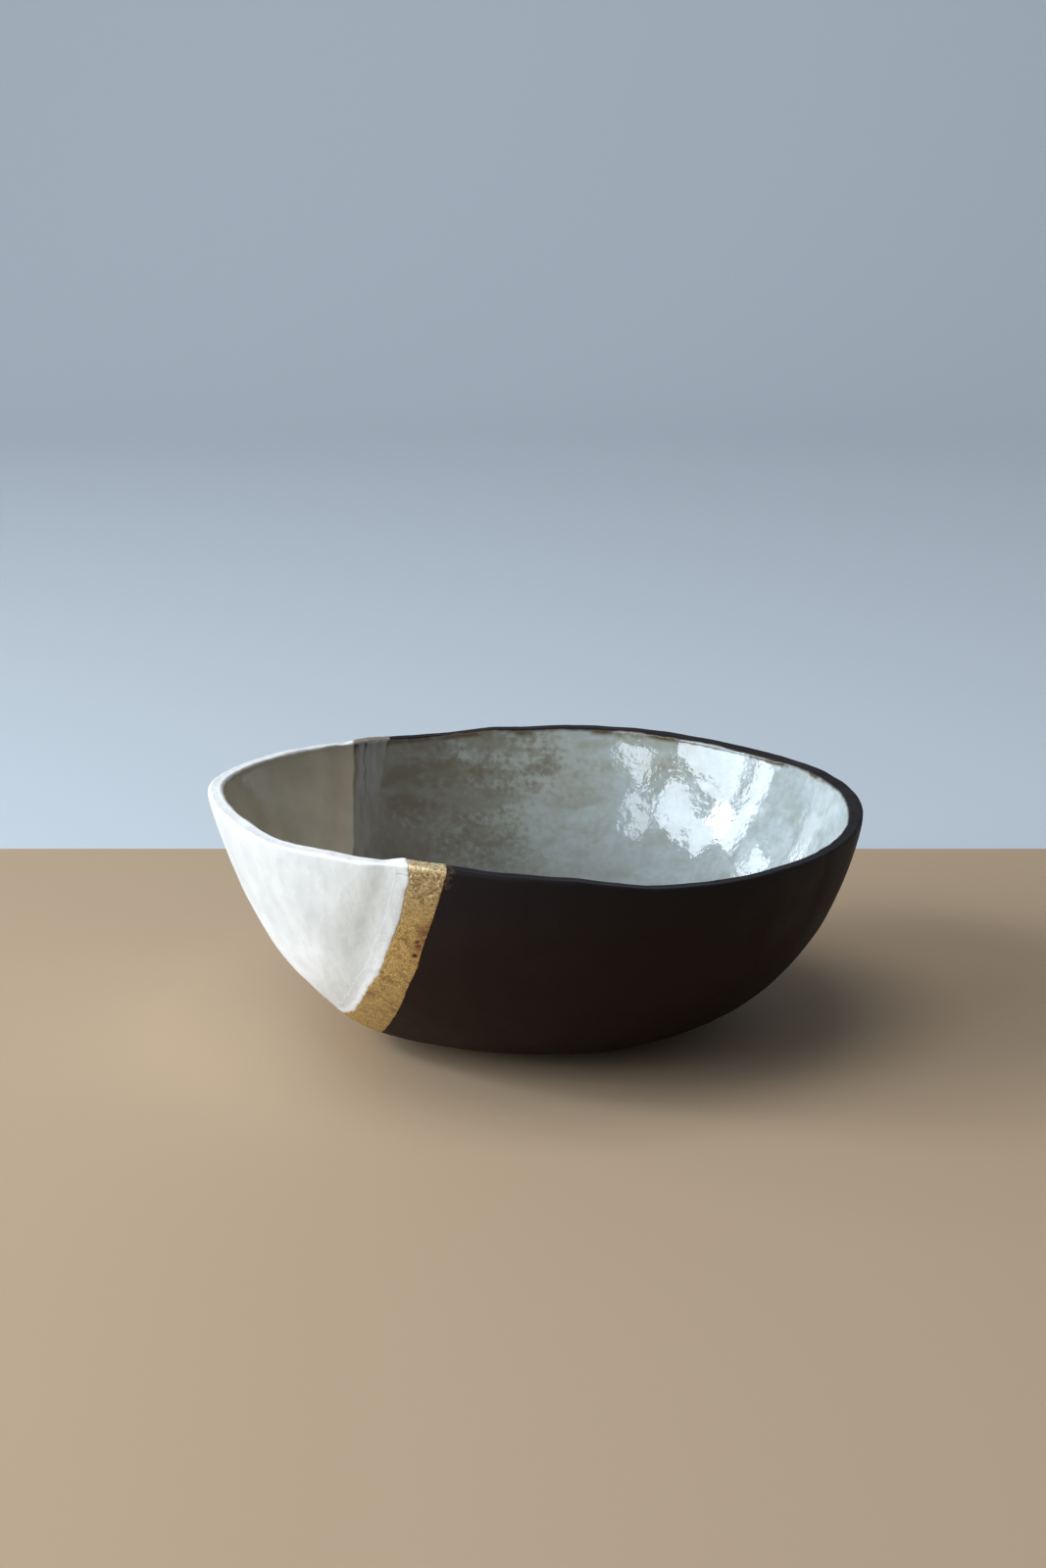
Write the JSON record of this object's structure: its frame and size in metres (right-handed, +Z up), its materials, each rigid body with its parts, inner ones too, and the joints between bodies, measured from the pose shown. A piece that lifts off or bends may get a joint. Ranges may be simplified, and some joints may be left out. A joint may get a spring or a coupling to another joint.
{
  "type": "ceramic bowl",
  "caption": "Wide hand-built ceramic bowl with an uneven flat lip, white clay and black clay meeting at a slanting gold band, glazed inside, for serving or display.",
  "frame": {"origin": "on the surface that the bowl stands on, at the bottom centre of its box", "axes": "+Z up, out of the bowl's mouth; the gold band faces -Y and lies towards -X, with the white clay beyond it"},
  "size_m": [0.2452, 0.255, 0.0934],
  "materials": {
    "black_clay": "matte, unglazed",
    "white_clay": "matte, unglazed",
    "gold_band": "rough, grainy metallic lustre",
    "glaze": "glossy, mottled and streaked"
  },
  "bodies": {
    "root": {"bowl": "black_clay"}
  },
  "joints": []
}
